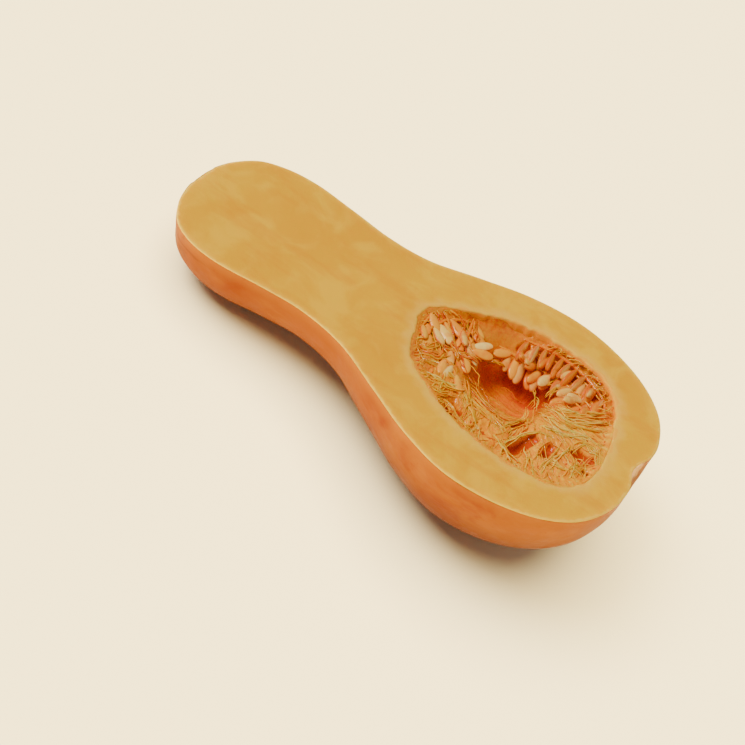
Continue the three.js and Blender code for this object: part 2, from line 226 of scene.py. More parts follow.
def grain(u, v, seed=0):
    """Smooth noise in 0 to 1 over a plane, with one bump per unit."""
    u, v = np.asarray(u, float), np.asarray(v, float)
    iu, iv = np.floor(u).astype(int), np.floor(v).astype(int)
    fu, fv = u - iu, v - iv
    fu, fv = fu * fu * (3 - 2 * fu), fv * fv * (3 - 2 * fv)

    def pick(a, b):
        return TABLE[(a * 374761 + b * 668265 + seed * 9973) & 8191]

    low = pick(iu, iv) * (1 - fu) + pick(iu + 1, iv) * fu
    high = pick(iu, iv + 1) * (1 - fu) + pick(iu + 1, iv + 1) * fu
    return low * (1 - fv) + high * fv


def cloud(x, y, scale, seed=0, octaves=3):
    """Layers of grain, in -1 to 1."""
    total, weight = 0, 0
    for k in range(octaves):
        f = 2**k / scale
        total = total + (grain(x * f + 31.7 * k, y * f - 17.3 * k, seed + k) * 2 - 1) / 2**k
        weight += 1 / 2**k
    return total / weight


def put(points):
    return (np.asarray(points, float) @ TURN.T + FRUIT_ORIGIN) * 0.001


def show(name, data):
    shown = bpy.data.objects.new(name, data)
    bpy.context.scene.collection.objects.link(shown)
    return shown


def make(name, points, faces, attributes, face_material=None):
    """A mesh from points in the fruit's frame. The rest flats and the box's sides bound it."""
    mesh = bpy.data.meshes.new(name)
    placed = np.clip(put(points), np.array(CAD_BOX[0]), np.array(CAD_BOX[1]))
    mesh.from_pydata(placed.tolist(), [], [tuple(int(i) for i in f) for f in faces])
    mesh.update()
    for key, values in attributes.items():
        layer = mesh.attributes.new(key, "FLOAT", "POINT")
        layer.data.foreach_set("value", np.asarray(values, np.float32))
    if face_material is not None:
        mesh.polygons.foreach_set("material_index", np.asarray(face_material, np.int32))
    mesh.polygons.foreach_set("use_smooth", [True] * len(mesh.polygons))
    return show(name, mesh)


# The outline and the skin.
upper = [(0, 0), *PROFILE, (BLOSSOM_X, 0)]
lower = [(x, -r) for x, r in reversed(PROFILE)]
around_fruit = catmull(upper + lower, True, 60)
half_profile = around_fruit[:60 * (len(upper) - 1) + 1]


def sway(x):
    return -NECK_SWAY * (1 - smoothstep(x, 0, 88)) - BELLY_SWAY * smoothstep(x, 140, 190)


def end_relief(x, y, z):
    """How far the skin moves along the fruit at its ends, and how far off the scar and the dimple are."""
    away = np.hypot(y - DIMPLE["y"], z - DIMPLE["z"]) / DIMPLE["radius"]
    dimple = -DIMPLE["depth"] * np.exp(-away * away)
    angle = np.arctan2(z - SCAR["z"], y - SCAR["y"])
    edge = SCAR["radius"] * (1 + SCAR["star"] * np.cos(SCAR["points"] * angle))
    reach = np.hypot(y - SCAR["y"], z - SCAR["z"])
    # The scar fades towards the cut, so that the cut's outline has no notch.
    below_cut = 0.32 + 0.68 * smoothstep(-z, 0.3, 3)
    scar = SCAR["depth"] * (1 - smoothstep(reach - edge, -1.2, 1.2)) * below_cut
    at_blossom = x > BLOSSOM_X / 2
    return np.where(at_blossom, dimple, scar), np.stack([reach / edge, away])


def skin_points(shares, phi):
    """The skin at shares of the outline's length and angles below the cut, with end_relief's distances."""
    xr = spaced(half_profile, shares)
    x, radius = xr[:, :1], xr[:, 1:]
    phi = phi[None, :]
    ends = np.exp(-x / RIB_REACH) + np.exp((x - BLOSSOM_X) / RIB_REACH)
    ribs = RIB_HEIGHT * ends * np.cos(RIBS * phi) * np.minimum(1, radius / 20)
    # Shallow dents, only inwards.
    dents = 0.22 * cloud(x / 1.6 + 40, phi * radius + 7, 26, 3) + 0.05 * cloud(x, phi * radius, 5, 8)
    r = radius + ribs + np.minimum(dents, 0.1) * np.minimum(1, radius / 12)
    y = sway(x) + r * np.cos(phi)
    z = -DEPTH_RATIO * r * np.sin(phi)
    relief, reach = end_relief(x, y, z)
    return np.stack([x + relief, y, z], axis=-1), reach


rim_curve = catmull(HOLLOW_RIM, True, 40)
rim_curve = np.vstack([rim_curve, rim_curve[:1]])
rim_from_middle = rim_curve - HOLLOW_MIDDLE
rim_angle = np.unwrap(np.arctan2(rim_from_middle[:, 1], rim_from_middle[:, 0]))
rim_order = np.argsort(np.mod(rim_angle, 2 * math.pi))
RIM_ANGLES = np.mod(rim_angle, 2 * math.pi)[rim_order]
RIM_REACH = np.hypot(*rim_from_middle.T)[rim_order]


def rim_reach(angle):
    """The hollow's reach from its middle in a direction."""
    return np.interp(np.mod(angle, 2 * math.pi), RIM_ANGLES, RIM_REACH, period=2 * math.pi)


def bowl_depth(w):
    return HOLLOW_DEPTH * (1 - np.minimum(1, w) ** HOLLOW_POWER) ** (1 / HOLLOW_POWER)


def flesh_and_skin():
    # The skin is a grid from the stem end to the blossom end, with a point at each.
    cosine = 0.5 - 0.5 * np.cos(np.pi * np.linspace(0, 1, SKIN_ALONG + 1))
    shares = (0.65 * cosine + 0.35 * np.linspace(0, 1, SKIN_ALONG + 1))[1:-1]
    phi = np.pi * np.linspace(0, 1, SKIN_AROUND + 1)
    grid, reach = skin_points(shares, phi)
    grid[:, 0, 2] = grid[:, -1, 2] = 0
    rows, columns = grid.shape[:2]
    poles = skin_points(np.array([0.0, 1.0]), np.array([0.0]))[0][:, 0]
    for pole, near in zip(poles, (grid[0], grid[-1])):
        pole[1] = (near[0, 1] + near[-1, 1]) / 2
        pole[2] = 0
    skin = np.concatenate([grid.reshape(-1, 3), poles])
    at = np.arange(rows * columns).reshape(rows, columns)
    stem, blossom = rows * columns, rows * columns + 1
    quads = np.stack([at[:-1, :-1], at[1:, :-1], at[1:, 1:], at[:-1, 1:]], axis=-1).reshape(-1, 4)
    faces = quads.tolist()
    faces += [(stem, int(at[0, j]), int(at[0, j + 1])) for j in range(columns - 1)]
    faces += [(blossom, int(at[-1, j + 1]), int(at[-1, j])) for j in range(columns - 1)]
    skin_faces = len(faces)
    # The ring of the cut, once round: stem, the +y side, blossom, the -y side.
    ring = np.concatenate([[stem], at[:, 0], [blossom], at[::-1, -1]])
    count = len(ring)
    outline = skin[ring, :2]
    skin[ring, 2] = -CUT_EDGE_DROP
    offset = outline - HOLLOW_MIDDLE
    angle = np.arctan2(offset[:, 1], offset[:, 0])
    far = np.hypot(*offset.T)
    ragged = 0.8 * cloud(angle * 24, angle * 0, 1.6, 12)
    near = rim_reach(angle) + ragged
    run = far - near
    direction = offset / far[:, None]
    first, last = CUT_FROM_SKIN[-1][0], CUT_FROM_RIM[0][0]
    middle = np.linspace(0, 1, CUT_MIDDLE_RINGS + 2)[1:-1]
    cut_rings = [(np.full(count, d), z) for d, z in CUT_FROM_SKIN]
    cut_rings += [(first + (run - first - last) * s, 0) for s in middle]
    cut_rings += [(run - d, z) for d, z in CUT_FROM_RIM]
    edge_away = [np.zeros(len(skin))]
    rim_away = [np.full(len(skin), NOWHERE_NEAR)]
    cut = []
    for d, z in cut_rings:
        xy = outline - direction * d[:, None]
        x, y = xy.T
        knife = 0.16 * cloud(x, y, 34, 21) + 0.05 * cloud(x * 0.4, y * 2.2, 9, 22) - 0.22
        cut.append(np.column_stack([xy, z + np.minimum(knife, -0.02)]))
        rim_away.append(np.maximum(run - d, 0))
    # The distance to the skin is that to the nearest point of the outline, not along the ray.
    for block in cut:
        gap = np.full(count, 1e9)
        for start in range(0, count, 60):
            part = block[start:start + 60, None, :2] - outline[None]
            gap[start:start + 60] = np.sqrt((part**2).sum(-1).min(-1))
        edge_away.append(gap)
    # The hollow's wall, down to the bottom.
    wall = []
    for w in WALL_SHARES:
        xy = HOLLOW_MIDDLE + direction * (rim_reach(angle) * w + ragged * smoothstep(w, 0.8, 1))[:, None]
        wall.append(np.column_stack([xy, np.full(count, -float(bowl_depth(w)))]))
        rim_away.append(np.zeros(count))
        edge_away.append(np.full(count, NOWHERE_NEAR))
    rings = cut + wall
    everything = np.concatenate([skin, *rings, [[*HOLLOW_MIDDLE, -HOLLOW_DEPTH]]])
    edge_away.append([NOWHERE_NEAR])
    rim_away.append([0.0])
    nxt = np.roll(np.arange(count), -1)
    previous = ring
    for k in range(len(rings)):
        now = len(skin) + k * count + np.arange(count)
        faces += np.stack([previous, now, now[nxt], previous[nxt]], axis=-1).tolist()
        previous = now
    bottom = len(everything) - 1
    faces += [(int(previous[j]), bottom, int(previous[nxt[j]])) for j in range(count)]
    material = [0] * skin_faces + [1] * (len(faces) - skin_faces)
    near_ends = np.full((2, len(everything)), OFF_THE_ENDS)
    near_ends[:, :rows * columns] = np.minimum(reach.reshape(2, -1), OFF_THE_ENDS)
    near_ends[:, [stem, blossom]] = 0
    near_ends[0, everything[:, 0] > 60] = OFF_THE_ENDS
    near_ends[1, everything[:, 0] < 200] = OFF_THE_ENDS
    return make(
        "squash_flesh_and_rind",
        everything,
        faces,
        {
            "edge_mm": np.concatenate(edge_away),
            "rim_mm": np.concatenate(rim_away),
            "depth_mm": -everything[:, 2],
            "scar": near_ends[0],
            "dimple": near_ends[1],
        },
        material,
    )


# The pulp.
def pulp_depth(x, y):
    depth = np.full(np.shape(x), float(PULP_LEVEL))
    for px, py, rx, ry, deep, power_x, power_y in PITS:
        away = np.abs((x - px) / rx) ** power_x + np.abs((y - py) / ry) ** power_y
        depth = depth + deep * (0.7 if py < -5 else 1) * np.exp(-away)
    return depth


# Openings between the strands, where the pulp is sunk and painted red, partly as the red flesh below and partly
# as painted shade: from x, y to x, y, and half their width.
OPENINGS = [
    (203.4, -29.0, 208.2, -16.5, 3.0), (216.4, -20.5, 216.9, -13.5, 2.2), (227.0, -7.6, 234.8, -6.2, 2.6),
    (236.2, -17.2, 236.8, -16.6, 1.8), (168.8, -28.6, 173.5, -31.0, 3.2), (195.8, -17.8, 200.0, -11.2, 1.5),
    (155.6, -5.0, 157.0, -1.0, 2.0), (174.0, 37.0, 177.0, 38.5, 2.6), (188.0, 39.6, 202.0, 36.0, 2.8),
]


def opening(x, y):
    """1 in the openings, 0 away from them."""
    x, y = np.asarray(x, float), np.asarray(y, float)
    inside = np.zeros(np.shape(x))
    for ax, ay, bx, by, half in OPENINGS:
        dx, dy = bx - ax, by - ay
        share = np.clip(((x - ax) * dx + (y - ay) * dy) / (dx * dx + dy * dy), 0, 1)
        away = np.hypot(x - ax - share * dx, y - ay - share * dy) / half
        inside = np.maximum(inside, smoothstep(away + 0.25 * cloud(x, y, 2.2, 90), 1.15, 0.6))
    return inside


# Where the fibres radiate from, where they lie, how strong their relief is, and how pale they are.
FIBRE_FIELDS = [
    # source x, y, region x, y, reach x, y, relief, paleness, fibres per radian
    (197, 2, 220, -16, 26, 22, 1.0, 0.7, 17),
    (196, 3, 224, 4, 18, 8, 0.6, 0.95, 16),
    (148, 22, 178, -28, 20, 14, 0.9, 0.62, 24),
    (122, 34, 143, 2, 15, 24, 1.1, 0.4, 18),
    (205, 72, 205, 34, 30, 12, 0.9, 0.4, 24),
    (70, 26, 180, 10, 22, 15, 0.7, 0.42, 40),
    (160, 70, 158, 30, 16, 11, 0.15, 0.4, 22),
]


def fibre_relief(x, y):
    """The fibres' height in 0 to 1, and their paleness, over the pulp."""
    height, pale, total = 0.0, 0.0, 1e-6
    for k, (sx, sy, rx, ry, wx, wy, strength, paleness, density) in enumerate(FIBRE_FIELDS):
        weight = np.exp(-(((x - rx) / wx) ** 2) - ((y - ry) / wy) ** 2) ** 1.5
        along = np.hypot(x - sx, y - sy)
        across = np.arctan2(y - sy, x - sx) * density
        warp = 1.3 * cloud(x, y, 10, 40 + k) + 0.4 * cloud(x, y, 3, 45 + k)
        fine = grain(across * 2.1 + warp * 1.6, along * 0.09, 50 + k)
        coarse = grain(across + warp, along * 0.06, 60 + k)
        ridged = 0.35 * (1 - np.abs(2 * fine - 1)) + 0.65 * (1 - np.abs(2 * coarse - 1)) ** 0.8
        height = height + weight * strength * ridged
        # Paler on the fibres' ridges, darker in the grooves between them: partly the fibres' own paleness, partly
        # painted shade in the grooves.
        pale = pale + weight * paleness * (0.3 + 0.95 * ridged * min(1, strength + 0.3))
        total = total + weight
    return height / total, pale / total


def redness(x, y, z):
    """How red the pulp is painted: in the openings between the strands, partly its own red and partly painted
    shade; painted shade in the seeds' bed and at the bottom.
    """
    red = 0.95 * opening(x, y)
    # Painted shade under the seeds, in their bed.
    bed = np.exp(-np.abs((x - 203) / 30) ** 3 - np.abs((y - 30) / 13) ** 3)
    red = np.maximum(red, 0.85 * smoothstep(bed, 0.35, 0.7) * smoothstep(-z, 5.0, 9.0))
    dx, dy = x - HOLLOW_MIDDLE[0], y - HOLLOW_MIDDLE[1]
    w = np.hypot(dx, dy) / rim_reach(np.arctan2(dy, dx))
    specks = smoothstep(grain(x * 0.8 + y * 0.3, y * 0.8 - x * 0.3, 77), 0.74, 0.9)
    bare_wall = smoothstep(y, 4, 12) * smoothstep(x, 130, 138) * smoothstep(x, 194, 186)
    red = np.maximum(red, specks * smoothstep(w, 0.62, 0.86) * smoothstep(w, 1.0, 0.96) * (1 - bare_wall))
    # Partly the pulp's own red, partly painted shade, in the deeper places at the neck.
    neck = np.exp(-np.abs((x - 146) / 14) ** 2 - np.abs((y - 8) / 16) ** 2)
    red = np.maximum(red, 0.6 * smoothstep(neck, 0.3, 0.8) * smoothstep(-z, 3.5, 6.0))
    # Painted shade at the bottom of the pit, under the seeds.
    return np.maximum(red, smoothstep(-z, 12, 20) * smoothstep(y, 18, 26) * smoothstep(x, 164, 178))


def pulp_top(x, y):
    """The height of the pulp's surface, and its paleness."""
    relief, pale = fibre_relief(x, y)
    lumps = 0.7 * cloud(x, y, 11, 30) + 0.35 * cloud(x, y, 4, 33)
    return -pulp_depth(x, y) + 1.7 * relief - 0.7 + lumps - 1.8 * opening(x, y), pale


def pulp_body():
    angle = np.linspace(0, 2 * math.pi, PULP_AROUND, endpoint=False)
    direction = np.stack([np.cos(angle), np.sin(angle)], axis=-1)
    reach = rim_reach(angle) + PULP_PAST_RIM
    shares = np.linspace(0, 1, PULP_RINGS + 1)[1:] ** 0.8
    w = shares[:, None]
    xy = HOLLOW_MIDDLE + direction[None] * (reach[None] * w)[..., None]
    x, y = xy[..., 0], xy[..., 1]
    top, pale = pulp_top(x, y)
    floor = -bowl_depth(w) + GAP + 0.4
    # At the rim the pulp rises to meet the cut, unless it lies deep there.
    meets = smoothstep(w, 0.9, 1.0) * smoothstep(top, -5, -2.5)
    top = top + (np.maximum(top, -0.55 + 0.35 * cloud(x, y, 3, 36)) - top) * meets
    top = np.maximum(top, np.minimum(floor + 1.4, -1.5))
    # Past the rim it dips into the flesh.
    past = reach[None] * w - rim_reach(angle)[None]
    top = np.minimum(top, -0.3) - 1.1 * smoothstep(past, -0.1, 0.7)
    points = np.concatenate([xy, top[..., None]], axis=-1).reshape(-1, 3)
    pale = pale.reshape(-1)
    count = PULP_AROUND
    under = []
    for share in UNDER_SHARES:
        z = -float(bowl_depth(share)) + GAP + 0.3
        under.append(np.column_stack([HOLLOW_MIDDLE + direction * (reach * share)[:, None], np.full(count, z)]))
    middle_top = float(pulp_top(HOLLOW_MIDDLE[:1], HOLLOW_MIDDLE[1:])[0][0])
    ends = [[*HOLLOW_MIDDLE, middle_top], [*HOLLOW_MIDDLE, -HOLLOW_DEPTH + GAP + 0.3]]
    everything = np.concatenate([points, *under, ends])
    nxt = np.roll(np.arange(count), -1)
    faces = []
    rings = PULP_RINGS + len(UNDER_SHARES)
    for k in range(rings - 1):
        a = k * count + np.arange(count)
        b = a + count
        faces += np.stack([a, b, b[nxt], a[nxt]], axis=-1).tolist()
    top_middle, bottom_middle = len(everything) - 2, len(everything) - 1
    last = (rings - 1) * count
    faces += [(top_middle, j, int(nxt[j])) for j in range(count)]
    faces += [(bottom_middle, last + int(nxt[j]), last + j) for j in range(count)]
    tone = np.concatenate([pale, np.full(len(everything) - len(pale), 0.1)])
    red = redness(everything[:, 0], everything[:, 1], everything[:, 2])
    return make("pulp_mass", everything, faces, {"tone": tone, "depth_mm": -everything[:, 2], "red": red})


class Tubes:
    """Thin closed tubes gathered into one mesh."""

    def __init__(self):
        self.points, self.faces, self.tone, self.count = [], [], [], 0

    def add(self, path, radius, sides=6, tone=0.5, taper=0.35):
        path = np.asarray(path, float)
        steps = len(path)
        ahead = directions(path)
        side = np.cross(ahead, (0.13, 0.21, 0.97))
        side /= np.linalg.norm(side, axis=1)[:, None] + 1e-9
        up = np.cross(side, ahead)
        s = np.linspace(0, 1, steps)
        thick = radius * (taper + (1 - taper) * np.minimum(1, 5 * np.minimum(s, 1 - s)))
        a = np.linspace(0, 2 * math.pi, sides, endpoint=False)
        ring = path[:, None] + thick[:, None, None] * (
            np.cos(a)[None, :, None] * side[:, None] + np.sin(a)[None, :, None] * up[:, None]
        )
        facing_up = (ring - path[:, None])[..., 2] / (thick[:, None] + 1e-9)
        self.faces += tube_faces(self.count, steps, sides)
        self.points.append(ring.reshape(-1, 3))
        # Painted shade: each strand's underside gets a lower tone, darker and more orange.
        self.tone.append((tone - 0.5 * smoothstep(facing_up, 0.6, -0.5)).reshape(-1))
        self.count += steps * sides

    def piece(self, name):
        points = np.concatenate(self.points)
        tone = np.concatenate(self.tone)
        # Painted shade: strands and cords lying deeper in the hollow are redder.
        red = 0.6 * smoothstep(-points[:, 2], 6, 14)
        strand = np.ones(len(points))
        attributes = {"tone": tone, "depth_mm": -points[:, 2], "red": red, "strand": strand}
        return make(name, points, self.faces, attributes)


# Guides of the strands, read off the photograph: points x, y, then depth, how many, spread, radii, paleness.
GUIDES = [
    ([(197.9, 0.2), (199.9, -8.4), (196.6, -17.3), (193.3, -28.1)], 2.0, 5, 2.2, 0.35, 0.7, 0.85),
    ([(203.8, 0.3), (214.6, -3.4), (224.4, 1.1), (233.7, 3.2)], 1.2, 6, 2.6, 0.35, 0.8, 0.9),
    ([(205.3, -8.6), (213.4, -5.8), (221.6, -4.9)], 1.4, 4, 1.6, 0.3, 0.6, 0.85),
    ([(199.6, -32.1), (202.0, -21.4), (207.7, -12.9), (215.5, -9.8)], 1.2, 5, 1.4, 0.35, 0.75, 0.85),
    ([(191.6, -30.0), (198.5, -33.0), (205.3, -36.0), (213.2, -37.8)], 1.4, 5, 2.2, 0.3, 0.6, 0.75),
    ([(215.6, -11.2), (215.2, -21.4), (214.9, -33.2)], 1.6, 4, 1.8, 0.35, 0.75, 0.8),
    ([(221.6, -4.9), (221.7, -14.7), (219.9, -25.5), (220.5, -35.7)], 1.4, 5, 2.4, 0.35, 0.8, 0.85),
    ([(226.0, -9.9), (229.9, -16.2), (231.2, -27.4)], 1.5, 4, 2.0, 0.3, 0.7, 0.8),
    ([(209.5, -23.6), (214.7, -30.9), (220.7, -35.2)], 1.6, 4, 1.8, 0.3, 0.6, 0.75),
    ([(217.0, -24.6), (224.0, -23.5), (231.3, -22.8)], 1.6, 4, 2.2, 0.3, 0.65, 0.8),
    ([(224.6, -9.0), (227.7, -1.8), (234.0, -1.6), (239.8, -11.0)], 1.3, 5, 1.6, 0.3, 0.65, 0.75),
    ([(229.6, -7.9), (234.5, -10.5), (237.3, -19.0)], 2.2, 4, 2.0, 0.25, 0.5, 0.6),
    ([(232.1, -3.1), (232.7, -14.1), (233.8, -25.6)], 1.8, 4, 2.4, 0.25, 0.55, 0.65),
    ([(165.2, -8.9), (171.1, -19.0), (178.8, -26.7), (187.0, -36.2)], 1.4, 5, 1.6, 0.35, 0.8, 0.8),
    ([(169.6, -17.8), (179.7, -21.6), (189.3, -23.1), (198.3, -26.6)], 1.5, 7, 3.6, 0.3, 0.65, 0.7),
    ([(167.0, -11.5), (180.5, -16.5), (192.6, -16.2), (198.5, -9.0)], 2.2, 5, 1.6, 0.25, 0.55, 0.6),
    ([(173.7, -18.8), (175.4, -27.6), (177.7, -35.7)], 1.5, 4, 2.0, 0.3, 0.6, 0.6),
    ([(144.7, -14.8), (152.3, -14.0), (159.3, -15.3), (166.3, -13.0)], 1.6, 6, 3.2, 0.35, 0.8, 0.7),
    ([(147.8, -22.8), (156.6, -22.7), (165.4, -19.8), (169.1, -15.7)], 1.4, 6, 3.0, 0.35, 0.75, 0.8),
    ([(155.5, -28.0), (162.7, -26.9), (167.9, -22.5)], 1.4, 5, 2.4, 0.3, 0.6, 0.7),
    ([(163.7, -29.9), (169.2, -31.8), (177.7, -35.8), (184.7, -37.4)], 1.4, 5, 1.6, 0.3, 0.7, 0.75),
    ([(142.2, 14.4), (147.6, 6.5), (154.7, 1.4), (165.0, 4.4)], 3.2, 4, 1.4, 0.4, 0.85, 0.3),
    ([(141.4, 1.1), (147.5, 0.8), (152.5, 2.1), (159.7, 4.5), (165.8, 5.6)], 3.4, 5, 2.2, 0.4, 0.9, 0.35),
    ([(138.0, -15.8), (143.5, -12.5), (149.0, -9.1), (150.9, -1.2)], 2.2, 6, 2.4, 0.35, 0.8, 0.4),
    ([(136.1, -7.7), (141.4, -9.6), (143.5, 0.8)], 2.4, 4, 2.0, 0.3, 0.7, 0.4),
    ([(140.4, -16.2), (147.2, -15.7), (152.9, -13.4), (154.6, -7.4)], 2.0, 5, 2.4, 0.3, 0.7, 0.6),
    ([(128.0, 8.2), (133.3, 8.4), (139.2, 6.2), (144.0, 5.8)], 2.4, 4, 2.4, 0.3, 0.6, 0.4),
    ([(130.0, 18.1), (136.0, 17.4), (141.9, 12.2), (147.2, 5.0)], 2.4, 5, 2.2, 0.35, 0.75, 0.35),
    ([(133.7, 22.7), (138.6, 23.8), (145.1, 22.2), (150.5, 17.8)], 2.6, 4, 2.0, 0.3, 0.7, 0.4),
    ([(149.7, 5.7), (158.1, -2.1), (163.8, -5.7)], 3.0, 4, 1.6, 0.35, 0.7, 0.3),
    ([(164.4, 12.6), (168.8, 17.5), (173.7, 21.6)], 9.0, 4, 2.0, 0.3, 0.6, 0.35),
    ([(156.0, 8.0), (162.0, 13.0), (166.5, 20.0), (170.0, 27.0)], 8.0, 4, 1.6, 0.25, 0.5, 0.4),
    ([(194.7, 10.9), (198.8, 7.1), (200.2, -0.4)], 4.0, 2, 0.6, 0.2, 0.35, 0.95),
    ([(190.6, 15.1), (194.6, 11.1), (196.8, 2.5)], 6.0, 3, 1.4, 0.2, 0.4, 0.5),
    ([(204.1, 10.3), (210.8, 9.4), (218.0, 17.3), (227.0, 29.8)], 2.4, 6, 2.4, 0.35, 0.75, 0.75),
    ([(199.6, 14.6), (199.5, 22.9), (204.5, 28.5), (211.6, 32.1)], 5.5, 5, 2.4, 0.3, 0.6, 0.5),
    ([(189.4, 22.0), (194.4, 26.1), (197.5, 35.3), (204.6, 38.9)], 8.0, 5, 2.4, 0.3, 0.6, 0.45),
    ([(205.2, 7.1), (215.4, 4.6), (225.0, 9.6), (232.3, 17.4)], 1.0, 6, 3.4, 0.3, 0.65, 0.95),
    ([(211.3, 5.9), (218.4, 12.3), (226.0, 17.8), (231.1, 23.3)], 1.3, 6, 2.4, 0.25, 0.6, 0.8),
    ([(205.4, 38.5), (211.4, 40.9), (217.7, 39.2), (224.4, 36.7)], 3.5, 5, 2.4, 0.3, 0.6, 0.5),
    ([(195.4, 45.8), (201.8, 45.7), (211.4, 44.8), (219.6, 41.0)], 2.0, 5, 2.0, 0.25, 0.55, 0.6),
    ([(181.6, 45.0), (190.3, 45.9), (197.9, 47.0)], 3.0, 4, 1.8, 0.25, 0.5, 0.45),
    ([(175.5, 13.7), (180.8, 13.9), (187.1, 12.3), (192.5, 14.0)], 15.0, 3, 1.4, 0.15, 0.3, 0.3),
    ([(176.6, -5.0), (182.9, -3.6), (190.2, -3.9)], 9.0, 3, 1.8, 0.12, 0.25, 0.45),
]

# Fans of finer fibres: start between a and b, end between c and d, how many, radii, paleness, lift over the pulp.
FANS = [
    ((162, -13), (172, -16), (178, -38), (190, -40), 16, (0.15, 0.4), 0.8, 0.5),
    ((170, -16), (197, -18), (168, -36), (205, -41), 30, (0.15, 0.4), 0.6, 0.4),
    ((198, -2), (203, -10), (196, -39), (214, -40), 18, (0.15, 0.4), 0.8, 0.6),
    ((199, -3), (206, -8), (212, -39), (234, -31), 18, (0.15, 0.4), 0.8, 0.6),
    ((201, 2), (206, -6), (238, -2), (236, -26), 18, (0.15, 0.4), 0.75, 0.5),
    ((200, 8), (203, 0), (236, 8), (238, -3), 20, (0.15, 0.4), 0.9, 0.5),
    ((203, 14), (210, 10), (232, 20), (236, 6), 14, (0.15, 0.4), 0.65, 0.4),
    ((133, -5), (150, -3), (145, -22), (164, -33), 20, (0.15, 0.4), 0.6, 0.4),
    ((134, 20), (130, 3), (158, -1), (150, -12), 18, (0.2, 0.5), 0.4, 0.7),
    ((139, 22), (150, 28), (152, 4), (164, 8), 14, (0.2, 0.5), 0.3, 0.4),
    ((150, -6), (160, -12), (158, -32), (170, -36), 14, (0.15, 0.4), 0.55, 0.4),
    ((162, 2), (166, -12), (176, -14), (190, -16), 8, (0.12, 0.3), 0.35, 0.2),
]


def inside_rim(x, y, margin):
    dx, dy = x - HOLLOW_MIDDLE[0], y - HOLLOW_MIDDLE[1]
    reach = np.hypot(dx, dy)
    limit = rim_reach(np.arctan2(dy, dx)) - margin
    scale = np.minimum(1, limit / np.maximum(reach, 1e-6))
    return HOLLOW_MIDDLE[0] + dx * scale, HOLLOW_MIDDLE[1] + dy * scale


def lay(path_xy, radius, lift, level, rng, wander):
    """A strand's path over the pulp: it follows the surface but spans what lies below its level."""
    x, y = path_xy[:, 0].copy(), path_xy[:, 1].copy()
    steps = len(x)
    s = np.linspace(0, 1, steps)
    heading = directions(path_xy)
    phase = rng.rand(4) * 6.28
    side = wander * (
        0.7 * np.sin(4 * s + phase[0]) + 0.45 * np.sin(9 * s + phase[1]) + 0.2 * np.sin(19 * s + phase[2])
    )
    x, y = inside_rim(x - heading[:, 1] * side, y + heading[:, 0] * side, 0.6)
    ground = pulp_top(x, y)[0] + radius * 0.35
    z = np.maximum(ground, -level)
    for _ in range(4):
        z[1:-1] = np.maximum(ground[1:-1], (z[:-2] + z[1:-1] + z[2:]) / 3)
    z = z + lift * np.sin(np.pi * s) ** 0.5 * (0.6 + 0.4 * np.sin(6 * s + phase[3]))
    # Both ends sink into the pulp.
    sink = (radius + 0.4) * (smoothstep(s, 0.12, 0) + smoothstep(s, 0.88, 1))
    return np.stack([x, y, np.minimum(z - sink, -0.45 - radius)], axis=-1)


def pulp_fibres():
    rng = np.random.RandomState(FIBRES_RANDOM_SEED)
    tubes = Tubes()
    for points, level, number, spread, thin, thick, paleness in GUIDES:
        guide = spaced(catmull(points, False, 12), np.linspace(0, 1, 22))
        heading = directions(guide)
        normal = np.stack([-heading[:, 1], heading[:, 0]], axis=-1)
        for i in range(number):
            # Strands of a bundle cross over one another.
            a, b = spread * (rng.rand(2) - 0.5) * 2
            away = a + (b - a) * np.linspace(0, 1, len(guide))
            first, last = 0.22 * rng.rand() ** 2, 1 - 0.22 * rng.rand() ** 2
            path = spaced(guide + normal * away[:, None], np.linspace(first, last, 20))
            if opening(path[:, 0], path[:, 1]).mean() > 0.3:
                continue
            radius = 0.86 * (thin + (thick - thin) * rng.rand() ** 1.7)
            tone = float(np.clip(paleness + 0.55 * (rng.rand() - 0.5), 0, 1))
            tubes.add(lay(path, radius, 0.7 * rng.rand(), level + 1.2 * rng.rand(), rng, 0.8), radius, 7, tone)
    for a, b, c, d, count, radii, paleness, lift in FANS:
        a, b, c, d = (np.array(q, float) for q in (a, b, c, d))
        for i in range(count):
            s = (i + rng.rand()) / count
            e = np.clip((i + 0.5 + 7 * (rng.rand() - 0.5)) / count, 0, 1)
            start, end = a + (b - a) * s, c + (d - c) * e
            keep = 0.3 + 0.5 * rng.rand()
            if rng.rand() < 0.5:
                start = end + (start - end) * keep
            else:
                end = start + (end - start) * keep
            radius = radii[0] + (radii[1] - radii[0]) * rng.rand() ** 2
            tone = float(np.clip(paleness + 0.6 * (rng.rand() - 0.5), 0, 1))
            path = start + (end - start) * np.linspace(0, 1, 14)[:, None]
            if opening(path[:, 0], path[:, 1]).mean() > 0.2:
                continue
            tubes.add(lay(path, radius, lift * rng.rand(), 3.0, rng, 1.2), radius, 6, tone)
    # Short fibres round the rim, where the pulp grows out of the flesh.
    for i in range(RIM_FIBRES):
        angle = 2 * math.pi * (i + 1.4 * rng.rand()) / RIM_FIBRES
        direction = np.array((math.cos(angle), math.sin(angle)))
        start = HOLLOW_MIDDLE + direction * (float(rim_reach(angle)) - 0.4)
        skew = 1.6 * (rng.rand() - 0.5)
        inward = np.array((math.cos(angle + skew), math.sin(angle + skew)))
        end = start - inward * (2 + 7 * rng.rand())
        # The wall behind the open middle is bare.
        if 136 < start[0] < 188 and start[1] > 12:
            continue
        radius = 0.2 + 0.35 * rng.rand() ** 2
        path = start + (end - start) * np.linspace(0, 1, 8)[:, None]
        tubes.add(lay(path, radius, 0.3 * rng.rand(), 1.6, rng, 0.5), radius, 5, 0.4 + 0.55 * rng.rand())
    return tubes.piece("pulp_fibres")


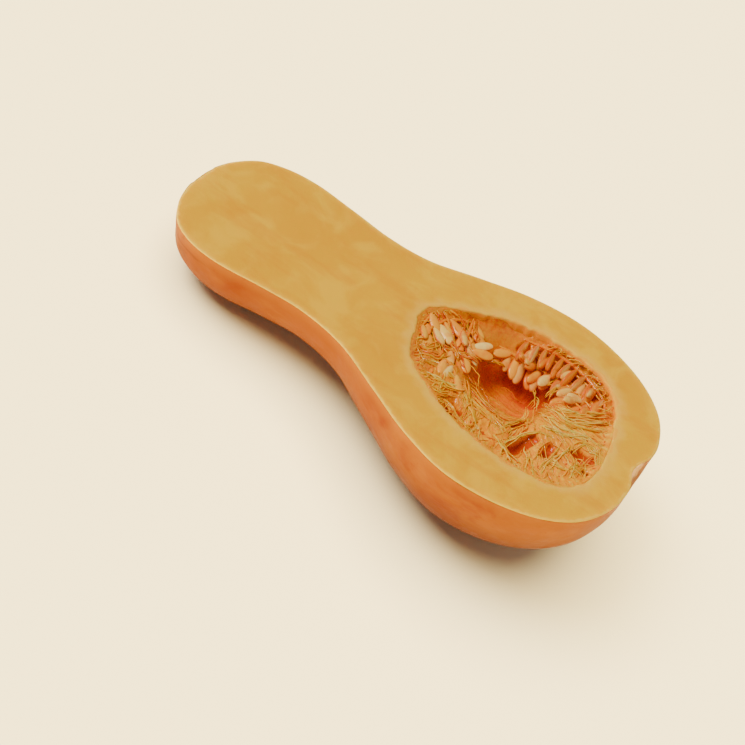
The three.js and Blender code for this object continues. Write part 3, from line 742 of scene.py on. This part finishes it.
# The seeds.
class Draws:
    """Repeatable random numbers in 0 to 1, drawn in the same order as for the solids."""

    def __init__(self, seed):
        self.state = seed

    def __call__(self):
        self.state = (self.state * 1664525 + 1013904223) & 0xFFFFFFFF
        return self.state / 4294967296


def turned(vector, angle):
    x, y, z = vector
    return np.array((x * math.cos(angle) - y * math.sin(angle), x * math.sin(angle) + y * math.cos(angle), z))


def seed_rings(base, out, face, size, rng):
    """The rings of one seed: a pointed base, the widest place past the middle, a raised margin."""
    along = out / np.linalg.norm(out)
    across = np.cross(face, along)
    across /= np.linalg.norm(across)
    normal = np.cross(across, along)
    s = 0.5 - 0.5 * np.cos(np.pi * np.linspace(0, 1, SEED_STEPS))
    peak = 0.6
    q = s / peak
    pointed = np.clip(2 * q - q * q, 0, 1) ** 0.72
    blunt = np.sqrt(np.clip(1 - ((s - peak) / (1 - peak)) ** 2, 0, 1))
    body = np.maximum(np.where(s < peak, pointed, blunt), 0.02)
    a = np.linspace(0, 2 * math.pi, SEED_SIDES, endpoint=False)
    half_width = SEED["width"] / 2 * size * body
    half_thick = SEED["thickness"] / 2 * size * body**0.7
    bend = 0.5 * (rng.rand() - 0.5) * np.sin(np.pi * s)
    v = np.cos(a)[None] * half_width[:, None] * 0.98
    upper_side = np.sign(np.sin(a))[None]
    w = upper_side * np.abs(np.sin(a))[None] ** 1.25 * half_thick[:, None] * 0.98
    margin = np.exp(-(((np.abs(np.cos(a)) - 0.86) / 0.07) ** 2))[None] * 0.12 * upper_side
    w = w + margin * body[:, None]
    centre = base + along * (SEED["length"] * size * s)[:, None] + normal * bend[:, None]
    return centre[:, None] + across * v[..., None] + normal * w[..., None]


def seed_row(row, draws, rng, small):
    """The curve of a row's cord and the seeds along it."""
    start, end, bow, number, out, fan, face = row
    start, end = np.array(start, float), np.array(end, float)
    cord = []
    for s in (0, 0.33, 0.67, 1):
        cord.append(start + (end - start) * s + np.array((0, bow, 0.6)) * math.sin(math.pi * s))
    curve = catmull(cord, False, 16)
    seeds = []
    for i in range(number):
        s = (i + 0.5) / number
        base = curve[int(round(s * (len(curve) - 1)))]
        yaw = fan * (s - 0.5) * 2 + 0.35 * (draws() - 0.5)
        heading = turned(out, yaw)
        heading[2] += 0.2 * (draws() - 0.5)
        facing = np.array(face, float)
        facing[0] += 0.9 * (draws() - 0.5)
        facing[1] += 0.6 * (draws() - 0.5)
        size = SEED_SIZE[0] + (SEED_SIZE[1] - SEED_SIZE[0]) * draws()
        if small:
            heading = heading + 0.5 * (rng.rand(3) - 0.5)
            base = base + 2.4 * (rng.rand(3) - 0.5)
            size *= SMALL_SEED
        seeds.append(seed_rings(base, heading, facing, size, rng))
    return curve, seeds


def seed_piece(name, draws, rng):
    cords = Tubes()
    seeds = []
    for row in SEED_CLUSTERS[name]:
        curve, made = seed_row(row, draws, rng, False)
        cords.add(curve, CORD_RADIUS["row"], 8, 0.4)
        seeds += made
    for row in FILLING[name]:
        curve, made = seed_row(row, rng.rand, rng, True)
        cords.add(curve, CORD_RADIUS["filling"], 8, 0.5)
        seeds += made
    for link in LINKS[name]:
        cords.add(catmull(link, False, 8), CORD_RADIUS["link"], 8, 0.4)
    points, faces, tone, margin, count = [], [], [], [], 0
    for rings in seeds:
        steps, sides = rings.shape[:2]
        faces += tube_faces(count, steps, sides)
        points.append(rings.reshape(-1, 3))
        tone.append(np.full(steps * sides, rng.rand()))
        # Darker orange on the seeds' sides and pointed bases: partly their own tint, partly painted shade between
        # the seeds.
        round_it = np.abs(np.cos(np.linspace(0, 2 * math.pi, sides, endpoint=False))) ** 3
        base = smoothstep(np.linspace(0, 1, steps), 0.3, 0.0)
        margin.append(np.maximum(round_it[None], base[:, None]).reshape(-1))
        count += steps * sides
    points = np.concatenate(points)
    attributes = {"tone": np.concatenate(tone), "margin": np.concatenate(margin), "depth_mm": -points[:, 2]}
    piece = make(name + "_fine", points, faces, attributes)
    return piece, cords.piece(name + "_cords")


# Materials.
COAT_ROUGHNESS = 0.14


def linear(color):
    """A colour of 0 to 255 as the shaders' red, green, blue and alpha."""
    shares = [c / 255 for c in color]
    return tuple(c / 12.92 if c <= 0.04045 else ((c + 0.055) / 1.055) ** 2.4 for c in shares) + (1.0,)


class Shade:
    """A material and short calls for its nodes. Colours are given as 0 to 255."""

    def __init__(self, name):
        self.material = bpy.data.materials.new(name)
        self.material.use_nodes = True
        self.tree = self.material.node_tree
        self.shader = self.tree.nodes["Principled BSDF"]
        self.place = self.node("ShaderNodeTexCoord", {}).outputs["Object"]

    def node(self, kind, inputs, **settings):
        made = self.tree.nodes.new(kind)
        for key, value in settings.items():
            setattr(made, key, value)
        for key, value in inputs.items():
            self.feed(made.inputs[key], value)
        return made

    def feed(self, socket, value):
        if isinstance(value, bpy.types.NodeSocket):
            self.tree.links.new(value, socket)
        else:
            socket.default_value = linear(value) if isinstance(value, tuple) else value

    def noise(self, scale, detail, rough=0.55, place=None, distortion=0.0):
        inputs = {"Vector": place or self.place, "Scale": scale, "Detail": detail, "Roughness": rough}
        return self.node("ShaderNodeTexNoise", {**inputs, "Distortion": distortion}).outputs["Fac"]

    def stretch(self, scale):
        made = self.node("ShaderNodeMapping", {"Vector": self.place})
        made.inputs["Scale"].default_value = scale
        return made.outputs["Vector"]

    def attribute(self, name):
        return self.node("ShaderNodeAttribute", {}, attribute_name=name).outputs["Fac"]

    def ramp(self, value, stops):
        made = self.node("ShaderNodeValToRGB", {"Fac": value})
        elements = made.color_ramp.elements
        while len(elements) < len(stops):
            elements.new(0.5)
        for element, (at, color) in zip(elements, stops):
            element.position = at
            element.color = linear(color)
        return made.outputs["Color"]

    def range(self, value, low, high, to_low=0.0, to_high=1.0):
        inputs = {"Value": value, "From Min": low, "From Max": high, "To Min": to_low, "To Max": to_high}
        return self.node("ShaderNodeMapRange", inputs, interpolation_type="SMOOTHSTEP").outputs["Result"]

    def jitter(self, value, noise, reach):
        """The value, moved up or down by at most this reach."""
        return self.math("ADD", value, self.range(noise, 0.3, 0.7, -reach, reach))

    def math(self, operation, a, b=0.0):
        return self.node("ShaderNodeMath", {0: a, 1: b}, operation=operation).outputs[0]

    def mix(self, factor, a, b):
        # Of the node's sockets, inputs 6 and 7 and output 2 are the colours.
        return self.node("ShaderNodeMix", {"Factor": factor, 6: a, 7: b}, data_type="RGBA").outputs[2]

    def bump(self, height, strength, distance, normal=None):
        inputs = {"Strength": strength, "Distance": distance, "Height": height}
        if normal is not None:
            inputs["Normal"] = normal
        return self.node("ShaderNodeBump", inputs).outputs["Normal"]

    def finish(
        self, color, roughness, normal=None, subsurface=0.0, radius=(1, 0.5, 0.2), scale=0.002,
        coat=0.0, gloss=0.3, tint=(1, 1, 1),
    ):
        values = {
            "Base Color": color, "Roughness": roughness, "Specular IOR Level": gloss, "Coat Weight": coat,
            "Coat Roughness": COAT_ROUGHNESS, "Subsurface Weight": subsurface, "Subsurface Scale": scale,
        }
        if normal is not None:
            values["Normal"] = normal
        for key, value in values.items():
            self.feed(self.shader.inputs[key], value)
        self.shader.inputs["Subsurface Radius"].default_value = radius
        self.shader.inputs["Specular Tint"].default_value = (*tint, 1.0)
        return self.material


def flesh_material():
    s = Shade("flesh")
    broad = s.noise(16, 3, 0.5)
    patches = s.noise(45, 4, 0.6, distortion=0.6)
    streaks = s.noise(60, 4, 0.6, s.stretch((0.3, 1.4, 1)))
    color = s.ramp(broad, [(0.32, (231, 163, 0)), (0.5, (235, 172, 0)), (0.7, (238, 179, 0))])
    color = s.mix(s.range(patches, 0.44, 0.64, 0, 0.75), color, (247, 192, 32))
    color = s.mix(s.range(streaks, 0.5, 0.68, 0, 0.6), color, (229, 154, 0))
    ragged_edge = s.jitter(s.attribute("edge_mm"), s.noise(260, 2), 0.5)
    color = s.mix(s.range(ragged_edge, 4.5, 0.8, 0, 0.45), color, (250, 192, 24))
    color = s.mix(s.range(ragged_edge, 1.7, 0.5, 0, 0.85), color, (255, 210, 70))
    ragged_rim = s.jitter(s.attribute("rim_mm"), s.noise(120, 3), 1.6)
    color = s.mix(s.range(ragged_rim, 7.5, 0.8, 0, 0.8), color, (248, 192, 66))
    color = s.mix(s.range(ragged_rim, 1.2, 0.2, 0, 0.5), color, (249, 158, 24))
    depth = s.attribute("depth_mm")
    # Painted shade: the hollow's orange wall turns darker and redder deeper down.
    wall = s.mix(s.range(depth, 3, 14), (252, 156, 10), (246, 118, 0))
    color = s.mix(s.range(depth, 0.9, 2.0), color, wall)
    height = s.math("ADD", s.noise(420, 4, 0.6), s.math("MULTIPLY", s.noise(1500, 2), 0.5))
    normal = s.bump(height, 0.28, 0.0006)
    rough = s.range(s.noise(120, 3), 0.3, 0.7, 0.34, 0.5)
    return s.finish(color, rough, normal, 0.3, (1.0, 0.45, 0.06), 0.004, 0.0, 0.2, (1.0, 0.75, 0.3))


def rind_material():
    s = Shade("rind")
    broad = s.noise(9, 3, 0.5)
    blush = s.noise(22, 4, 0.6, distortion=0.5)
    streaks = s.noise(70, 4, 0.65, s.stretch((0.35, 1, 1)))
    specks = s.noise(420, 3, 0.6)
    color = s.ramp(broad, [(0.3, (140, 66, 0)), (0.5, (148, 76, 0)), (0.7, (158, 88, 0))])
    color = s.mix(s.range(blush, 0.48, 0.7, 0, 0.8), color, (130, 46, 0))
    color = s.mix(s.range(streaks, 0.46, 0.72, 0, 0.5), color, (170, 100, 10))
    color = s.mix(s.range(specks, 0.6, 0.78, 0, 0.4), color, (128, 46, 0))
    # Painted light: lighter and yellower just under the cut. Painted shade: darker and browner towards the back.
    depth = s.attribute("depth_mm")
    color = s.mix(s.range(depth, 8, 1, 0, 0.6), color, (174, 100, 8))
    color = s.mix(s.range(depth, 6, 44, 0, 0.9), color, (84, 28, 0))
    # Brown mottling at the stem end, and painted shade along a faint furrow there.
    apart = s.node("ShaderNodeSeparateXYZ", {"Vector": s.place})
    near_stem = s.range(apart.outputs["X"], -0.084, -0.108)
    mottling = s.range(s.noise(130, 4, 0.65), 0.47, 0.62, 0, 0.55)
    color = s.mix(s.math("MULTIPLY", mottling, near_stem), color, (112, 52, 16))
    # Painted shade: a dark line along the furrow, on one side only.
    off_furrow = s.math("ABSOLUTE", s.math("SUBTRACT", depth, s.range(s.noise(40, 2), 0.3, 0.7, 6, 13)))
    furrow_shade = s.math("MULTIPLY", s.range(off_furrow, 0.9, 0.2, 0, 0.6), near_stem)
    one_side = s.range(apart.outputs["Y"], -0.014, -0.026)
    color = s.mix(s.math("MULTIPLY", furrow_shade, one_side), color, (96, 42, 12))
    scar = s.attribute("scar")
    cork = s.ramp(s.noise(260, 5, 0.7), [(0.3, (120, 88, 52)), (0.55, (176, 146, 100)), (0.75, (214, 190, 146))])
    below_cut = s.range(depth, 0.7, 2.2)
    # A pale ring runs round the cork of the stem's scar.
    off_ring = s.math("ABSOLUTE", s.math("SUBTRACT", scar, 1.12))
    color = s.mix(s.math("MULTIPLY", s.range(off_ring, 0.16, 0.04, 0, 0.6), below_cut), color, (244, 214, 150))
    color = s.mix(s.math("MULTIPLY", s.range(scar, 1.06, 0.96), below_cut), color, cork)
    # The dimple at the blossom end is paler, with a grey-brown spot.
    blossom = s.jitter(s.attribute("dimple"), s.noise(300, 3), 0.1)
    color = s.mix(s.range(blossom, 1.0, 0.55, 0, 0.8), color, (250, 206, 140))
    color = s.mix(s.range(blossom, 0.34, 0.2, 0, 0.75), color, (150, 112, 72))
    height = s.math("ADD", s.noise(300, 4, 0.6), s.math("MULTIPLY", streaks, 1.2))
    normal = s.bump(height, 0.16, 0.0008, s.bump(s.noise(95, 3, 0.5), 0.3, 0.0016))
    rough = s.range(s.noise(60, 3), 0.3, 0.7, 0.45, 0.6)
    return s.finish(color, rough, normal, 0.1, (1.0, 0.35, 0.1), 0.002, 0.0, 0.05, (1.0, 0.5, 0.2))


def pulp_material():
    s = Shade("pulp")
    depth = s.attribute("depth_mm")
    # The tone carries painted shade on the strands' undersides and in the grooves between fibres.
    tone = s.jitter(s.attribute("tone"), s.noise(500, 4, 0.6), 0.14)
    mass = s.ramp(tone, [
        (0.0, (190, 52, 0)), (0.2, (214, 102, 0)), (0.42, (228, 138, 0)),
        (0.62, (246, 150, 4)), (0.82, (254, 172, 26)), (1.0, (255, 194, 72)),
    ])
    strands = s.ramp(tone, [
        (0.0, (216, 70, 0)), (0.2, (230, 102, 0)), (0.42, (240, 136, 0)),
        (0.62, (250, 153, 8)), (0.82, (255, 172, 36)), (1.0, (255, 194, 76)),
    ])
    color = s.mix(s.attribute("strand"), mass, strands)
    # Painted shade: deeper in the hollow the pulp turns a darker, redder orange.
    deep = s.mix(s.range(depth, 8, 19), (228, 152, 0), (230, 98, 0))
    deep = s.mix(s.range(s.noise(70, 3), 0.42, 0.68, 0, 0.55), deep, (238, 150, 0))
    color = s.mix(s.range(depth, 3, 9, 0, 0.62), color, deep)
    # The red attribute carries painted shade under the seeds and deep in the hollow, with partly own red in the
    # openings.
    red = s.jitter(s.attribute("red"), s.noise(240, 3), 0.15)
    reds = s.ramp(s.noise(160, 3), [(0.35, (178, 34, 0)), (0.65, (206, 72, 0))])
    color = s.mix(s.range(red, 0.2, 0.9, 0, 0.92), color, reds)
    normal = s.bump(s.noise(700, 4, 0.65), 0.3, 0.0005)
    rough = s.range(s.noise(200, 2), 0.3, 0.7, 0.25, 0.45)
    moist = s.math("MULTIPLY", s.range(s.noise(90, 3), 0.42, 0.62, 0.0, 0.6), s.range(depth, 14, 6))
    return s.finish(color, rough, normal, 0.5, (1.0, 0.3, 0.03), 0.003, moist, 0.1, (1.0, 0.7, 0.3))


def seed_material():
    s = Shade("seed_coat")
    color = s.ramp(s.attribute("tone"), [(0.0, (246, 142, 0)), (0.5, (255, 184, 46)), (1.0, (255, 222, 122))])
    color = s.mix(s.range(s.noise(700, 4, 0.6), 0.45, 0.75, 0, 0.35), color, (240, 144, 6))
    color = s.mix(s.range(s.noise(110, 2), 0.47, 0.62, 0, 0.6), color, (240, 130, 6))
    # Painted shade: seeds lying deeper in the hollow are darker and more orange.
    color = s.mix(s.range(s.attribute("depth_mm"), 7, 16, 0, 0.5), color, (226, 108, 0))
    # Sides and bases: partly the seeds' own orange tint, partly painted shade between them.
    color = s.mix(s.range(s.attribute("margin"), 0.25, 0.95, 0, 0.85), color, (214, 84, 0))
    normal = s.bump(s.noise(900, 3), 0.15, 0.0003)
    return s.finish(color, 0.28, normal, 0.12, (1.0, 0.4, 0.08), 0.001, 0.22, 0.3, (1.0, 0.8, 0.5))


def floor_material():
    s = Shade("floor")
    color = s.mix(s.noise(3, 2), (249, 234, 192), (248, 232, 189))
    return s.finish(color, 0.9)


# Building.
body = flesh_and_skin()
body.data.materials.append(rind_material())
body.data.materials.append(flesh_material())
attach(body, "root")
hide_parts("squash_half")

wet_pulp = pulp_material()
for piece in (pulp_body(), pulp_fibres()):
    piece.data.materials.append(wet_pulp)
    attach(piece, "root")
    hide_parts("pulp")

draws = Draws(RANDOM_SEED)
seed_rng = np.random.RandomState(FILLING_RANDOM_SEED)
seed_coat = seed_material()
for cluster in SEED_CLUSTERS:
    seeds, cords = seed_piece(cluster, draws, seed_rng)
    seeds.data.materials.append(seed_coat)
    cords.data.materials.append(wet_pulp)
    for piece, slot in ((seeds, "seed"), (cords, "pulp")):
        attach(piece, "root")
        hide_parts(cluster)

# The floor lies a hair below the resting flats.
FLOOR_REACH = 6.0
FLOOR_DROP = 0.0002
floor_mesh = bpy.data.meshes.new("floor")
corners = [(FLOOR_REACH * x, FLOOR_REACH * y, 0) for x, y in ((-1, -1), (1, -1), (1, 1), (-1, 1))]
floor_mesh.from_pydata(corners, [], [(0, 1, 2, 3)])
floor = show("floor", floor_mesh)
floor.location.z = -FLOOR_DROP
floor.data.materials.append(floor_material())

# The camera.
right, down, forward = (TURN @ np.array(v) for v in (CAMERA_RIGHT, CAMERA_DOWN, CAMERA_FORWARD))
eye = put([EYE])[0]
camera_data = bpy.data.cameras.new("camera")
camera_data.angle = FIELD_OF_VIEW
camera = show("camera", camera_data)
axes = Matrix((Vector(right), Vector(-down), Vector(-forward))).transposed()
camera.matrix_world = Matrix.Translation(eye) @ axes.to_4x4()
bpy.context.scene.camera = camera

# Soft studio light: a dim surround, a wide key from the photograph's upper left, and a lamp for the floor alone.
world = bpy.data.worlds.new("surround")
world.use_nodes = True
background = world.node_tree.nodes["Background"]
background.inputs["Color"].default_value = (1.0, 0.88, 0.8, 1)
background.inputs["Strength"].default_value = 0.35
bpy.context.scene.world = world


def sun(name, toward, strength, angle, color):
    """A sun that shines from this direction, this many degrees wide."""
    data = bpy.data.lights.new(name, "SUN")
    data.energy = strength
    data.angle = math.radians(angle)
    data.color = color
    lamp = show(name, data)
    lamp.rotation_euler = Vector(toward).to_track_quat("Z", "Y").to_euler()
    return lamp


sun("key", TURN @ np.array((-0.45, -0.28, 0.86)), 3.6, 28, (1.0, 0.97, 0.9))
floor_lamp = sun("floor_lamp", (-0.3, -0.1, 1.0), 12.8, 60, (1.0, 0.86, 0.5))
only_floor = bpy.data.collections.new("floor_lit")
only_floor.objects.link(floor)
floor_lamp.light_linking.receiver_collection = only_floor
